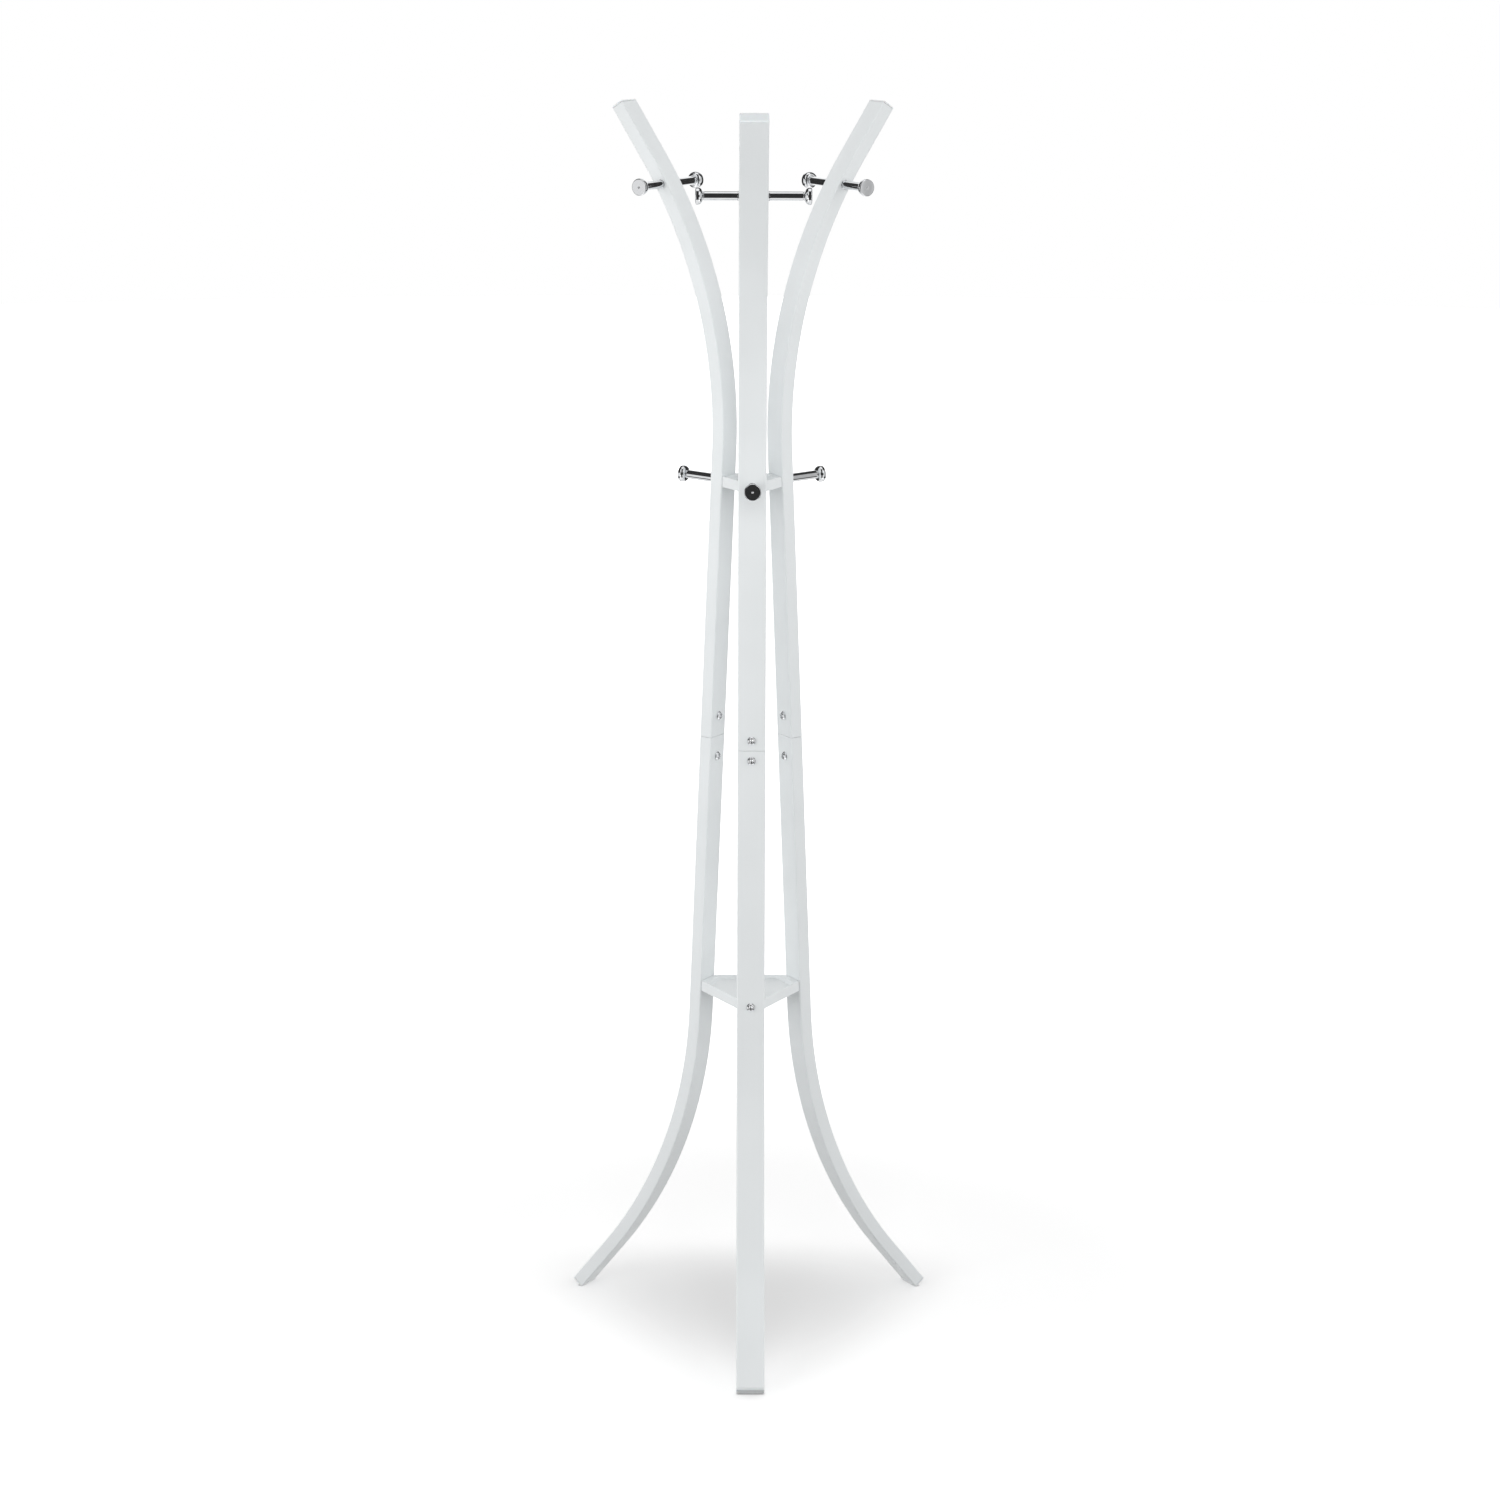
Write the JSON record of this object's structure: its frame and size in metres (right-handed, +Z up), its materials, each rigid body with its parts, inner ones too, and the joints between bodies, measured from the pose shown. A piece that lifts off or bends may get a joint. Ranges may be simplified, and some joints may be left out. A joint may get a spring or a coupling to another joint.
{
  "type": "standing coat rack",
  "caption": "Tall free-standing coat rack: bent steel posts splayed at head and foot round one axis, turned metal pegs, a tie plate and a low triangular tray.",
  "frame": {"origin": "on the floor, at the centre of the stand's bounding box; the axis that the three posts stand round is 66 mm behind it, towards +Y", "axes": "+Z up; -Y towards the front post; +X to the right seen from the front"},
  "size_m": [0.5348, 0.4638, 1.7858],
  "materials": {
    "powder_coat": "white powder coat, satin, very fine orange peel",
    "white_plastic": "moulded white plastic, fine matt texture",
    "peg_chrome": "polished chrome plate, turned end faces",
    "screw_chrome": "bright chrome plate",
    "plain_steel": "zinc-plated steel, hidden inside"
  },
  "bodies": {
    "root": {"front_upper_post": "powder_coat", "front_lower_post": "powder_coat", "front_post_connector": "plain_steel", "front_top_cap": "white_plastic", "front_foot_cap": "white_plastic", "front_outer_upper_screw": "screw_chrome", "front_outer_lower_screw": "screw_chrome", "front_inner_upper_screw": "screw_chrome", "front_inner_lower_screw": "screw_chrome", "front_middle_peg": "peg_chrome", "front_middle_peg_stud": "plain_steel", "front_middle_peg_nut": "plain_steel", "front_upper_peg_left": "peg_chrome", "front_upper_peg_right": "peg_chrome", "front_upper_peg_stud": "plain_steel", "front_tray_screw": "screw_chrome", "front_tray_nut": "plain_steel", "left_upper_post": "powder_coat", "left_lower_post": "powder_coat", "left_post_connector": "plain_steel", "left_top_cap": "white_plastic", "left_foot_cap": "white_plastic", "left_outer_upper_screw": "screw_chrome", "left_outer_lower_screw": "screw_chrome", "left_inner_upper_screw": "screw_chrome", "left_inner_lower_screw": "screw_chrome", "left_middle_peg": "peg_chrome", "left_middle_peg_stud": "plain_steel", "left_middle_peg_nut": "plain_steel", "left_upper_peg_left": "peg_chrome", "left_upper_peg_right": "peg_chrome", "left_upper_peg_stud": "plain_steel", "left_tray_screw": "screw_chrome", "left_tray_nut": "plain_steel", "right_upper_post": "powder_coat", "right_lower_post": "powder_coat", "right_post_connector": "plain_steel", "right_top_cap": "white_plastic", "right_foot_cap": "white_plastic", "right_outer_upper_screw": "screw_chrome", "right_outer_lower_screw": "screw_chrome", "right_inner_upper_screw": "screw_chrome", "right_inner_lower_screw": "screw_chrome", "right_middle_peg": "peg_chrome", "right_middle_peg_stud": "plain_steel", "right_middle_peg_nut": "plain_steel", "right_upper_peg_left": "peg_chrome", "right_upper_peg_right": "peg_chrome", "right_upper_peg_stud": "plain_steel", "right_tray_screw": "screw_chrome", "right_tray_nut": "plain_steel", "upper_plate": "powder_coat", "lower_tray": "powder_coat"}
  },
  "joints": []
}
